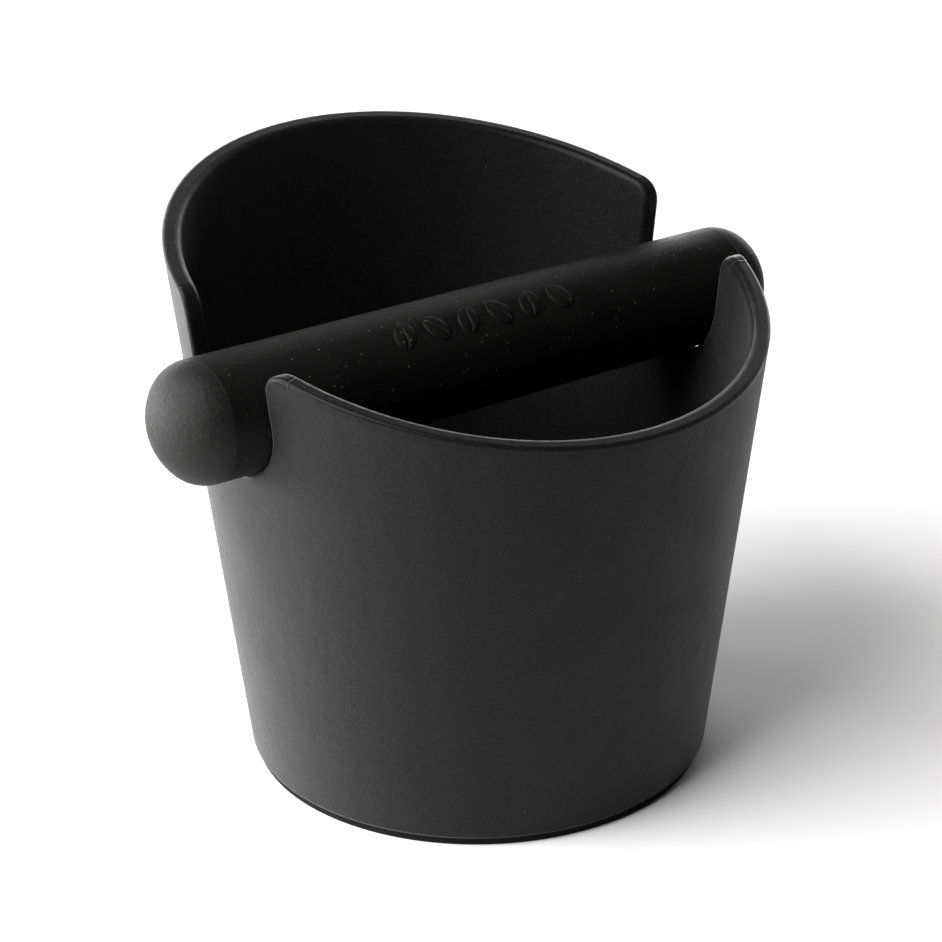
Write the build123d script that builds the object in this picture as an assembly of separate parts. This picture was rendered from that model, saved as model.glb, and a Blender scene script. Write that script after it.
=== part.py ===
from build123d import *
import os
from math import radians, sqrt, tan

# Espresso knock box: a tapered tub with a slanted mouth and a padded bar lying in two notches.
# Origin: on the tub's axis, on the table. +X along the bar, -Y to the low front, +Z up. Millimetres.

# Tub
BAR_HEIGHT = 112.0  # the bar's axis above the table
MOUTH_DIAMETER = 150.0  # outside, at the bar's height
BASE_DIAMETER = 124.4  # outside, carried down to the table
WALL = 4.8  # thickness, measured level
FLOOR = 4.4
FLOOR_ROUND = 6.0  # inside corner between wall and floor
BASE_ROUND = 1.2  # outside corner at the underside
RIM_HEIGHT = 133.7  # of the slanted rim, on the tub's axis
RIM_TILT = 16.0  # degrees, rising to the back
OUTER_EDGE_ROUND = 1.0  # on the rim and the notches, outside
INNER_EDGE_ROUND = 1.9  # on the rim and the notches, inside

# Notches
BAR_DIAMETER = 31.0
BAR_Y = -0.5  # the bar lies a little in front of the tub's axis
NOTCH_SIDE_GAP = 0.25  # between the bar and each side of a notch
NOTCH_BOTTOM_GAP = 0.2  # under the bar
FRONT_HORN_ROUND = 5.0  # where a notch meets the low front rim
BACK_HORN_ROUND = 7.0  # where a notch meets the high back rim

# Bar
BAR_LENGTH = 190.4  # over the domed ends
DOME_LENGTH = 13.2
NOSE_RADIUS = 18.0  # the dome's middle
SHOULDER_ROUND = 10.0  # from the dome's middle to its side
CORE_DIAMETER = 20.0
CORE_BORE = 15.0
CORE_SETBACK = 2.5  # from the sleeve's end to the core's end
RUNNING_GAP = 0.05  # radial, core to sleeve and stem to core
STEM_LENGTH = 18.0
STEM_POINT = 1.5  # chamfer on the stem's end
SEAM_CHAMFER = 0.15  # each side of the parting ring

# Foot ring
FOOT_HEIGHT = 2.1  # gap under the body
FOOT_INSET = 1.2  # from the body's outside
FOOT_WIDTH = 11.5
TONGUE_INSET = 2.5  # from the edges of the foot
TONGUE_HEIGHT = 2.0
TONGUE_GAP = 0.1  # round the tongue, in its groove

# Derived
TAPER = (MOUTH_DIAMETER - BASE_DIAMETER) / 2 / BAR_HEIGHT
STOCK_HEIGHT = 175.0  # uncut wall, before the mouth is trimmed
STOCK_REACH = 110.0  # half size of the trimming shape
BAR_RADIUS = BAR_DIAMETER / 2
NOTCH_HALF = BAR_RADIUS + NOTCH_SIDE_GAP
NOTCH_CENTRE = BAR_HEIGHT - BAR_RADIUS - NOTCH_BOTTOM_GAP + NOTCH_HALF
NOTCH_FRONT = BAR_Y - NOTCH_HALF
NOTCH_BACK = BAR_Y + NOTCH_HALF
SLEEVE_HALF = BAR_LENGTH / 2 - DOME_LENGTH
CORE_HALF = SLEEVE_HALF - CORE_SETBACK
FLOOR_TOP = FOOT_HEIGHT + FLOOR
BAR_AXIS = Axis((0, BAR_Y, BAR_HEIGHT), (1, 0, 0))
BAR_SECTION = Plane(origin=(0, BAR_Y, BAR_HEIGHT), x_dir=(1, 0, 0), z_dir=(0, -1, 0))


def wall_radius(z):
    """Outside radius of the tub at height z."""
    return BASE_DIAMETER / 2 + TAPER * z


def rim_height(y):
    """Height of the slanted rim at a distance y behind the tub's axis."""
    return RIM_HEIGHT + tan(radians(RIM_TILT)) * y


FOOT_OUTER = wall_radius(FOOT_HEIGHT) - FOOT_INSET
FOOT_INNER = FOOT_OUTER - FOOT_WIDTH


def turned(points):
    """Solid of revolution about the tub's axis, from (radius, height) corners."""
    return revolve(Plane.XZ * make_face(Polyline(*points, close=True)), axis=Axis.Z)


def ring(outer, inner, bottom, top):
    """Plain ring about the tub's axis."""
    return turned([(inner, bottom), (outer, bottom), (outer, top), (inner, top)])


def tapered(bottom, inset, corner):
    """Solid cone from height bottom upwards, its lower corner rounded."""
    corners = [
        (0, bottom),
        (wall_radius(bottom) - inset, bottom),
        (wall_radius(STOCK_HEIGHT) - inset, STOCK_HEIGHT),
        (0, STOCK_HEIGHT),
    ]
    section = make_face(Polyline(*corners, close=True))
    low_corner = section.vertices().sort_by(Axis.Y)[:2].sort_by(Axis.X)[-1]
    return revolve(Plane.XZ * fillet(low_corner, corner), axis=Axis.Z)


def mouth_shape():
    """What is left of the stock, seen along the bar: a slanted top with a U notch, as a block."""
    reach = STOCK_REACH
    outline = [
        Line((-reach, 0), (reach, 0)),
        Line((reach, 0), (reach, rim_height(reach))),
        Line((reach, rim_height(reach)), (NOTCH_BACK, rim_height(NOTCH_BACK))),
        Line((NOTCH_BACK, rim_height(NOTCH_BACK)), (NOTCH_BACK, NOTCH_CENTRE)),
        RadiusArc((NOTCH_BACK, NOTCH_CENTRE), (NOTCH_FRONT, NOTCH_CENTRE), NOTCH_HALF),
        Line((NOTCH_FRONT, NOTCH_CENTRE), (NOTCH_FRONT, rim_height(NOTCH_FRONT))),
        Line((NOTCH_FRONT, rim_height(NOTCH_FRONT)), (-reach, rim_height(-reach))),
        Line((-reach, rim_height(-reach)), (-reach, 0)),
    ]
    side = make_face(outline)
    for y, size in ((NOTCH_FRONT, FRONT_HORN_ROUND), (NOTCH_BACK, BACK_HORN_ROUND)):
        horn = side.vertices().sort_by_distance((y, rim_height(y), 0))[0]
        side = fillet(horn, size)
    return extrude(Plane.YZ * side, amount=reach, both=True)


def mouth_edges(shell, outside):
    """The curved edges round the rim and the notches, on the outside or the inside of the wall."""

    def wanted(edge):
        middle = edge @ 0.5
        radius = sqrt(middle.X**2 + middle.Y**2)
        is_outside = radius > wall_radius(middle.Z) - WALL / 2
        return edge.bounding_box().min.Z > BAR_HEIGHT / 2 and is_outside == outside

    return shell.edges().filter_by(GeomType.LINE, reverse=True).filter_by(wanted)


def tub_body():
    """The moulded shell: tapered wall, floor, slanted mouth and two notches."""
    shell = tapered(FOOT_HEIGHT, 0, BASE_ROUND) - tapered(FLOOR_TOP, WALL, FLOOR_ROUND)
    shell = shell & mouth_shape()
    shell = fillet(mouth_edges(shell, outside=True), OUTER_EDGE_ROUND)
    shell = fillet(mouth_edges(shell, outside=False), INNER_EDGE_ROUND)
    groove = ring(
        FOOT_OUTER - TONGUE_INSET + TONGUE_GAP,
        FOOT_INNER + TONGUE_INSET - TONGUE_GAP,
        FOOT_HEIGHT,
        FOOT_HEIGHT + TONGUE_HEIGHT + TONGUE_GAP,
    )
    return shell - groove


def foot_ring():
    """Rubber ring under the floor, with a tongue that presses into the floor's groove."""
    flange = ring(FOOT_OUTER, FOOT_INNER, 0, FOOT_HEIGHT)
    tongue = ring(
        FOOT_OUTER - TONGUE_INSET,
        FOOT_INNER + TONGUE_INSET,
        FOOT_HEIGHT,
        FOOT_HEIGHT + TONGUE_HEIGHT,
    )
    return flange + tongue


def rod(radius, start, end):
    """Plain round rod on the bar's axis."""
    corners = [(start, 0), (end, 0), (end, radius), (start, radius)]
    return revolve(BAR_SECTION * make_face(Polyline(*corners, close=True)), axis=BAR_AXIS)


def bar_core():
    """Steel tube inside the bar."""
    return rod(CORE_DIAMETER / 2, -CORE_HALF, CORE_HALF) - rod(CORE_BORE / 2, -CORE_HALF, CORE_HALF)


def bar_sleeve():
    """Thick rubber tube over the core, its outer end edges eased."""
    outside = chamfer(
        rod(BAR_RADIUS, -SLEEVE_HALF, SLEEVE_HALF).edges().filter_by(GeomType.CIRCLE),
        SEAM_CHAMFER,
    )
    return outside - rod(CORE_DIAMETER / 2 + RUNNING_GAP, -SLEEVE_HALF, SLEEVE_HALF)


def right_end_cap():
    """Domed rubber cap on the +X end, with a stem that plugs into the core."""
    tip = BAR_LENGTH / 2
    seat = SLEEVE_HALF + SEAM_CHAMFER
    corner = tip - NOSE_RADIUS + sqrt(NOSE_RADIUS**2 - BAR_RADIUS**2)
    outline = [
        Line((SLEEVE_HALF, 0), (SLEEVE_HALF, BAR_RADIUS - SEAM_CHAMFER)),
        Line((SLEEVE_HALF, BAR_RADIUS - SEAM_CHAMFER), (seat, BAR_RADIUS)),
        Line((seat, BAR_RADIUS), (corner, BAR_RADIUS)),
        RadiusArc((corner, BAR_RADIUS), (tip, 0), NOSE_RADIUS),
        Line((tip, 0), (SLEEVE_HALF, 0)),
    ]
    section = make_face(outline)
    shoulder = section.vertices().sort_by_distance((corner, BAR_RADIUS, 0))[0]
    dome = revolve(BAR_SECTION * fillet(shoulder, SHOULDER_ROUND), axis=BAR_AXIS)
    stem = rod(CORE_BORE / 2 - RUNNING_GAP, SLEEVE_HALF - STEM_LENGTH, SLEEVE_HALF)
    point = stem.edges().filter_by(GeomType.CIRCLE).sort_by(Axis.X)[0]
    return dome + chamfer(point, STEM_POINT)


def main():
    os.makedirs("parts", exist_ok=True)
    cap = right_end_cap()
    pieces = {
        "tub_body": tub_body(),
        "foot_ring": foot_ring(),
        "bar_core": bar_core(),
        "bar_sleeve": bar_sleeve(),
        "right_end_cap": cap,
        "left_end_cap": mirror(cap, about=Plane.YZ),
    }
    for name, piece in pieces.items():
        export_step(piece, f"parts/{name}.step")


main()
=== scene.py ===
import math

import bpy
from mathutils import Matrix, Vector


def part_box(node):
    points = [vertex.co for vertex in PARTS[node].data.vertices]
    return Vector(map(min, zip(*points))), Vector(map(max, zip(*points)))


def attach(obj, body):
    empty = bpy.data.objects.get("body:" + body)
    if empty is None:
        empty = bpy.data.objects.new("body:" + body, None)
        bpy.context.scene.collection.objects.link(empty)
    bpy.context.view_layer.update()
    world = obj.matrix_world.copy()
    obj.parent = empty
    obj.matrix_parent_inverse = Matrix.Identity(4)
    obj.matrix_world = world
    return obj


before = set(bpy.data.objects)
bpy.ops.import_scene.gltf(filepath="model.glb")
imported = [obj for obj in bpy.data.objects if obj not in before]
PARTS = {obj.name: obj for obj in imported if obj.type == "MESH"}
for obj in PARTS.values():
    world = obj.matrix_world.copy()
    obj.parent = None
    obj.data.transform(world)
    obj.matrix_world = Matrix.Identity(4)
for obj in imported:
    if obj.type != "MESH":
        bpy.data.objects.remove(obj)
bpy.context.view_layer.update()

# Camera, aimed at a point a little under half the object's height. Angles in degrees, lengths in metres.
CAMERA_AZIMUTH = -36.7
CAMERA_ELEVATION = 23.4
CAMERA_ROLL = -0.58
CAMERA_DISTANCE = 0.614
CAMERA_AIM = Vector((-0.0017, 0.0001, 0.0773))
LENS = 88.7

# Bar and rim, as the CAD frame has them.
BAR_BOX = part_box("bar_sleeve")
BAR_RADIUS = (BAR_BOX[1][2] - BAR_BOX[0][2]) / 2
BAR_CENTRE_Y = (BAR_BOX[1][1] + BAR_BOX[0][1]) / 2
BAR_CENTRE_Z = (BAR_BOX[1][2] + BAR_BOX[0][2]) / 2
RIM_HEIGHT = 0.1337
RIM_SLOPE = math.tan(math.radians(16.0))
NOTCH_SIDE_GAP = 0.00025
NOTCH_BOTTOM_GAP = 0.0002
NOTCH_HALF = BAR_RADIUS + NOTCH_SIDE_GAP
NOTCH_CENTRE_Z = BAR_CENTRE_Z + NOTCH_SIDE_GAP - NOTCH_BOTTOM_GAP

# Where the smooth edges of the tub turn into grain, measured away from the edge.
RIM_FADE = (0.0014, 0.0028)
NOTCH_FADE = (0.0004, 0.0014)
NOTCH_SMOOTHNESS = 0.6

# Line where the mould parts, on both sides, this far round in front of the bar.
MOULD_LINE_ANGLE = math.radians(18.6)
MOULD_LINE_FADE = (0.0001, 0.00028)

# Raised coffee beans on the bar.
BEAN_COUNT = 6
BEAN_PITCH = 0.0098
BEAN_LENGTH = 0.0086
BEAN_WIDTH = 0.0060
BEAN_HEIGHT = 0.0005
BEAN_SUNK = 0.00006
BEAN_LEAN = math.radians(24)
BEAN_EDGE_POWER = 5
CREASE_BOW = 0.22
CREASE_WAVE = 2.6
CREASE_WIDTH = 0.13
CREASE_DEPTH = 0.75
BEAN_ROW_X = -0.0045
BEAN_ROW_ANGLE = math.radians(37)
BEAN_STEPS = 30


# ---------------------------------------------------------------- node helpers


def new_paint(name):
    """An empty material with its node tree and its main shader."""
    paint = bpy.data.materials.new(name)
    paint.use_nodes = True
    return paint, paint.node_tree, paint.node_tree.nodes["Principled BSDF"]


def feed(tree, socket, value):
    """A link or a plain value into a socket."""
    if isinstance(value, bpy.types.NodeSocket):
        tree.links.new(value, socket)
    else:
        socket.default_value = value


def calc(tree, operation, *values):
    """Result of a sum on links and plain numbers."""
    node = tree.nodes.new("ShaderNodeMath")
    node.operation = operation
    for socket, value in zip(node.inputs, values):
        feed(tree, socket, value)
    return node.outputs[0]


def place(tree):
    """Position on the part, in metres."""
    return tree.nodes.new("ShaderNodeTexCoord").outputs["Object"]


def axes(tree, vector):
    """The x, y and z of a vector."""
    split = tree.nodes.new("ShaderNodeSeparateXYZ")
    tree.links.new(vector, split.inputs[0])
    return split.outputs


def stretch(tree, vector, scale):
    """Vector with each axis multiplied by its own number."""
    node = tree.nodes.new("ShaderNodeVectorMath")
    node.operation = "MULTIPLY"
    tree.links.new(vector, node.inputs[0])
    node.inputs[1].default_value = scale
    return node.outputs[0]


def noise(tree, vector, size, detail=2.0, roughness=0.5):
    """Soft noise from 0 to 1 whose blotches are about `size` metres."""
    node = tree.nodes.new("ShaderNodeTexNoise")
    tree.links.new(vector, node.inputs["Vector"])
    node.inputs["Scale"].default_value = 1 / size
    node.inputs["Detail"].default_value = detail
    node.inputs["Roughness"].default_value = roughness
    return node.outputs["Fac"]


def span(tree, value, low, high, to_low, to_high):
    """Value carried from one range to another, and held at its ends."""
    node = tree.nodes.new("ShaderNodeMapRange")
    node.inputs["From Min"].default_value = low
    node.inputs["From Max"].default_value = high
    node.inputs["To Min"].default_value = to_low
    node.inputs["To Max"].default_value = to_high
    tree.links.new(value, node.inputs["Value"])
    return node.outputs["Result"]


def blend(tree, factor, first, second):
    """Colour that goes from first to second with the factor."""
    node = tree.nodes.new("ShaderNodeMix")
    node.data_type = "RGBA"
    feed(tree, node.inputs[0], factor)
    feed(tree, node.inputs[6], first)
    feed(tree, node.inputs[7], second)
    return node.outputs[2]


def specks(tree, vector, spacing, radius, share):
    """1 inside small scattered dots, 0 elsewhere; only a share of the cells hold a dot."""
    node = tree.nodes.new("ShaderNodeTexVoronoi")
    tree.links.new(vector, node.inputs["Vector"])
    node.inputs["Scale"].default_value = 1 / spacing
    size = radius / spacing
    dot = span(tree, node.outputs["Distance"], size * 0.6, size, 1.0, 0.0)
    chosen = calc(tree, "LESS_THAN", axes(tree, node.outputs["Color"])[0], share)
    return calc(tree, "MULTIPLY", dot, chosen)


def relief(tree, height, depth, under=None):
    """Bump whose full height is `depth` metres, on top of another bump if one is given."""
    node = tree.nodes.new("ShaderNodeBump")
    node.inputs["Distance"].default_value = depth
    tree.links.new(height, node.inputs["Height"])
    if under is not None:
        tree.links.new(under, node.inputs["Normal"])
    return node.outputs["Normal"]


def grey(value, warmth=0.0):
    """Grey colour, a little redder with warmth."""
    return (value * (1 + warmth), value, value * (1 - warmth), 1)


# ---------------------------------------------------------------- materials


def rim_closeness(tree, spot):
    """1 on the slanted rim, fading to 0 a few millimetres below it."""
    _, y, z = axes(tree, spot)
    top = calc(tree, "MULTIPLY_ADD", y, RIM_SLOPE, RIM_HEIGHT)
    drop = calc(tree, "SUBTRACT", top, z)
    return span(tree, drop, *RIM_FADE, 1.0, 0.0)


def notch_closeness(tree, spot):
    """High on the sides and bottom of the two notches, fading to 0 beside them."""
    _, y, z = axes(tree, spot)
    sideways = calc(tree, "SUBTRACT", y, BAR_CENTRE_Y)
    below = calc(tree, "MINIMUM", calc(tree, "SUBTRACT", z, NOTCH_CENTRE_Z), 0.0)
    squares = calc(tree, "ADD", calc(tree, "POWER", sideways, 2.0), calc(tree, "POWER", below, 2.0))
    away = calc(tree, "SUBTRACT", calc(tree, "SQRT", squares), NOTCH_HALF)
    return span(tree, away, *NOTCH_FADE, NOTCH_SMOOTHNESS, 0.0)


def mould_line(tree, spot):
    """1 on a thin line across the wall where the mould parts, seen on the smooth edges."""
    x, y, _ = axes(tree, spot)
    sideways = calc(tree, "MULTIPLY", calc(tree, "ABSOLUTE", x), math.sin(MOULD_LINE_ANGLE))
    offset = calc(tree, "ABSOLUTE", calc(tree, "MULTIPLY_ADD", y, math.cos(MOULD_LINE_ANGLE), sideways))
    return span(tree, offset, *MOULD_LINE_FADE, 1.0, 0.0)


def tub_plastic():
    """Black moulded plastic: fine eroded grain on the walls, smooth rim and notches, a little dust."""
    paint, tree, shader = new_paint("tub_plastic")
    spot = place(tree)
    pits = noise(tree, spot, 0.0008, 5, 0.8)
    dust = specks(tree, spot, 0.0075, 0.00024, 0.25)
    smooth = calc(tree, "MAXIMUM", rim_closeness(tree, spot), notch_closeness(tree, spot))
    base = blend(tree, span(tree, pits, 0.38, 0.62, 0.0, 1.0), grey(0.0005), grey(0.0060))
    base = blend(tree, dust, base, grey(0.09, 0.03))
    feed(tree, shader.inputs["Base Color"], base)
    smear = noise(tree, spot, 0.018, 4)
    rough = span(tree, smear, 0.3, 0.7, 0.46, 0.56)
    rough = calc(tree, "SUBTRACT", rough, calc(tree, "MULTIPLY", smooth, 0.09))
    feed(tree, shader.inputs["Roughness"], rough)
    shader.inputs["Specular IOR Level"].default_value = 0.12
    shader.inputs["Sheen Weight"].default_value = 0.185
    shader.inputs["Sheen Roughness"].default_value = 0.40
    soft = relief(tree, noise(tree, spot, 0.005, 2), 0.00012)
    seam = relief(tree, calc(tree, "MULTIPLY", mould_line(tree, spot), smooth), 0.00014, soft)
    grain = calc(tree, "MULTIPLY", pits, span(tree, smooth, 0.0, 1.0, 1.0, 0.12))
    feed(tree, shader.inputs["Normal"], relief(tree, grain, 0.00016, seam))
    return paint


def bar_rubber():
    """Matt black rubber with a dusty bloom, lint and a very fine skin."""
    paint, tree, shader = new_paint("bar_rubber")
    spot = place(tree)
    bloom = noise(tree, spot, 0.012, 5, 0.6)
    skin = noise(tree, spot, 0.0008, 4, 0.7)
    lint = specks(tree, spot, 0.0018, 0.00022, 0.55)
    base = blend(tree, bloom, grey(0.0015), grey(0.005, 0.05))
    base = blend(tree, span(tree, skin, 0.35, 0.65, 0.0, 0.4), base, grey(0.010, 0.04))
    base = blend(tree, lint, base, grey(0.13, 0.08))
    feed(tree, shader.inputs["Base Color"], base)
    feed(tree, shader.inputs["Roughness"], span(tree, bloom, 0.3, 0.7, 0.50, 0.64))
    shader.inputs["Specular IOR Level"].default_value = 0.10
    soft = relief(tree, noise(tree, spot, 0.003, 2), 0.00005)
    feed(tree, shader.inputs["Normal"], relief(tree, skin, 0.00016, soft))
    return paint


def cap_rubber():
    """The same rubber on the domed ends, with a visible orange peel."""
    paint, tree, shader = new_paint("cap_rubber")
    spot = place(tree)
    bloom = noise(tree, spot, 0.009, 4, 0.6)
    peel = noise(tree, spot, 0.0011, 4, 0.7)
    lint = specks(tree, spot, 0.0024, 0.00015, 0.4)
    base = blend(tree, bloom, grey(0.004), grey(0.009, 0.03))
    base = blend(tree, span(tree, peel, 0.35, 0.65, 0.0, 0.5), base, grey(0.020, 0.02))
    base = blend(tree, lint, base, grey(0.08, 0.05))
    feed(tree, shader.inputs["Base Color"], base)
    feed(tree, shader.inputs["Roughness"], span(tree, peel, 0.35, 0.65, 0.48, 0.66))
    shader.inputs["Specular IOR Level"].default_value = 0.14
    feed(tree, shader.inputs["Normal"], relief(tree, peel, 0.00024))
    return paint


def foot_rubber():
    """Dull rubber of the foot ring, greyed where it meets the table."""
    paint, tree, shader = new_paint("foot_rubber")
    spot = place(tree)
    height = axes(tree, spot)[2]
    scuff = noise(tree, spot, 0.004, 5, 0.7)
    worn = calc(tree, "MULTIPLY", span(tree, height, 0.0, 0.0006, 1.0, 0.0), scuff)
    base = blend(tree, worn, grey(0.004), grey(0.014, 0.04))
    feed(tree, shader.inputs["Base Color"], base)
    feed(tree, shader.inputs["Roughness"], span(tree, scuff, 0.3, 0.7, 0.62, 0.78))
    shader.inputs["Specular IOR Level"].default_value = 0.10
    feed(tree, shader.inputs["Normal"], relief(tree, noise(tree, spot, 0.0006, 3), 0.00006))
    return paint


def core_steel():
    """Steel tube with fine drawing lines along its length."""
    paint, tree, shader = new_paint("core_steel")
    spot = place(tree)
    lines = noise(tree, stretch(tree, spot, (0.02, 1.0, 1.0)), 0.0003, 3, 0.7)
    base = blend(tree, lines, grey(0.42), grey(0.60))
    feed(tree, shader.inputs["Base Color"], base)
    shader.inputs["Metallic"].default_value = 1.0
    feed(tree, shader.inputs["Roughness"], span(tree, lines, 0.3, 0.7, 0.24, 0.42))
    feed(tree, shader.inputs["Normal"], relief(tree, lines, 0.00001))
    return paint


def dress_parts():
    """Gives every CAD part its finish."""
    finishes = {
        "tub_body": tub_plastic(),
        "foot_ring": foot_rubber(),
        "bar_core": core_steel(),
        "bar_sleeve": bar_rubber(),
    }
    finishes["left_end_cap"] = cap_rubber()
    finishes["right_end_cap"] = finishes["left_end_cap"]
    for name, paint in finishes.items():
        PARTS[name].data.materials.clear()
        PARTS[name].data.materials.append(paint)
    return finishes


# ---------------------------------------------------------------- raised beans


def bean_height(across, along):
    """Height of a bean over the rubber; both coordinates run from -1 to 1."""
    reach = min(1.0, math.hypot(across, along))
    pillow = math.sqrt(max(0.0, 1 - reach**BEAN_EDGE_POWER))
    crease = across - CREASE_BOW * math.sin(CREASE_WAVE * along)
    furrow = math.exp(-((crease / CREASE_WIDTH) ** 2)) * max(0.0, 1 - abs(along) ** 6)
    return BEAN_HEIGHT * pillow * (1 - CREASE_DEPTH * furrow) - BEAN_SUNK


def on_bar(x, arc, height):
    """Point over the bar's surface, `arc` metres round it from the row of beans."""
    angle = BEAN_ROW_ANGLE + arc / BAR_RADIUS
    radius = BAR_RADIUS + height
    return (x, BAR_CENTRE_Y - radius * math.sin(angle), BAR_CENTRE_Z + radius * math.cos(angle))


def bean_points(centre_x, lean):
    """Grid of points for one bean, squeezed from a square into an oval."""
    points = []
    for row in range(BEAN_STEPS + 1):
        for column in range(BEAN_STEPS + 1):
            u = 2 * row / BEAN_STEPS - 1
            v = 2 * column / BEAN_STEPS - 1
            along = u * math.sqrt(1 - v * v / 2)
            across = v * math.sqrt(1 - u * u / 2)
            long_way = along * BEAN_LENGTH / 2
            short_way = across * BEAN_WIDTH / 2
            x = centre_x + short_way * math.cos(lean) + long_way * math.sin(lean)
            arc = long_way * math.cos(lean) - short_way * math.sin(lean)
            points.append(on_bar(x, arc, bean_height(across, along)))
    return points


def bean_faces(start):
    """Four-sided faces over one bean's grid, whose first point has the index start."""
    faces = []
    stride = BEAN_STEPS + 1
    for row in range(BEAN_STEPS):
        for column in range(BEAN_STEPS):
            corner = start + row * stride + column
            faces.append((corner, corner + stride, corner + stride + 1, corner + 1))
    return faces


def bean_relief(paint):
    """A generic row of raised coffee beans moulded on the front of the bar."""
    points = []
    faces = []
    for number in range(BEAN_COUNT):
        centre_x = BEAN_ROW_X + (number - (BEAN_COUNT - 1) / 2) * BEAN_PITCH
        lean = BEAN_LEAN if number % 2 else -BEAN_LEAN
        faces += bean_faces(len(points))
        points += bean_points(centre_x, lean)
    mesh = bpy.data.meshes.new("bean_relief")
    mesh.from_pydata(points, [], faces)
    mesh.shade_smooth()
    mesh.materials.append(paint)
    beans = bpy.data.objects.new("bean_relief", mesh)
    bpy.context.scene.collection.objects.link(beans)
    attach(beans, "bar_grip")


# ---------------------------------------------------------------- studio


def make_camera():
    """Long lens, looking down at the tub from its front left."""
    azimuth = math.radians(CAMERA_AZIMUTH)
    elevation = math.radians(CAMERA_ELEVATION)
    back = Vector(
        (
            math.sin(azimuth) * math.cos(elevation),
            -math.cos(azimuth) * math.cos(elevation),
            math.sin(elevation),
        )
    )
    camera = bpy.data.objects.new("camera", bpy.data.cameras.new("camera"))
    camera.data.lens = LENS
    camera.location = CAMERA_AIM + back * CAMERA_DISTANCE
    camera.rotation_euler = (-back).to_track_quat("-Z", "Y").to_euler()
    camera.rotation_euler.rotate_axis("Z", math.radians(CAMERA_ROLL))
    bpy.context.scene.collection.objects.link(camera)
    bpy.context.scene.camera = camera


def make_floor():
    """White table, far larger than the picture."""
    half = 6.0
    corners = [(-half, -half, 0), (half, -half, 0), (half, half, 0), (-half, half, 0)]
    mesh = bpy.data.meshes.new("floor")
    mesh.from_pydata(corners, [], [(0, 1, 2, 3)])
    floor = bpy.data.objects.new("floor", mesh)
    bpy.context.scene.collection.objects.link(floor)
    paint, _, shader = new_paint("floor")
    shader.inputs["Base Color"].default_value = grey(0.9)
    shader.inputs["Roughness"].default_value = 0.8
    shader.inputs["Specular IOR Level"].default_value = 0.2
    mesh.materials.append(paint)


def softbox(name, where, width, height, power):
    """Rectangular lamp turned towards the object, unseen by the camera."""
    light = bpy.data.lights.new(name, "AREA")
    light.shape = "RECTANGLE"
    light.size = width
    light.size_y = height
    light.energy = power
    lamp = bpy.data.objects.new(name, light)
    lamp.location = where
    lamp.rotation_euler = (Vector((0, 0, 0.08)) - Vector(where)).to_track_quat("-Z", "Y").to_euler()
    lamp.visible_camera = False
    bpy.context.scene.collection.objects.link(lamp)


def make_lights():
    """A big key on the left, low panels behind and on the left, dim surroundings."""
    softbox("key", (-0.60, 0.08, 0.76), 0.85, 0.62, 17.5)
    softbox("back_panel", (0.9, 1.5, 0.42), 3.2, 0.8, 50)
    softbox("left_panel", (-0.9, 0.7, 0.16), 1.4, 0.3, 34)
    world = bpy.data.worlds.new("studio")
    world.use_nodes = True
    world.node_tree.nodes["Background"].inputs["Color"].default_value = grey(0.04)
    bpy.context.scene.world = world
    bpy.context.scene.view_settings.view_transform = "Standard"


make_camera()
make_floor()
make_lights()
paints = dress_parts()
bean_relief(paints["bar_sleeve"])
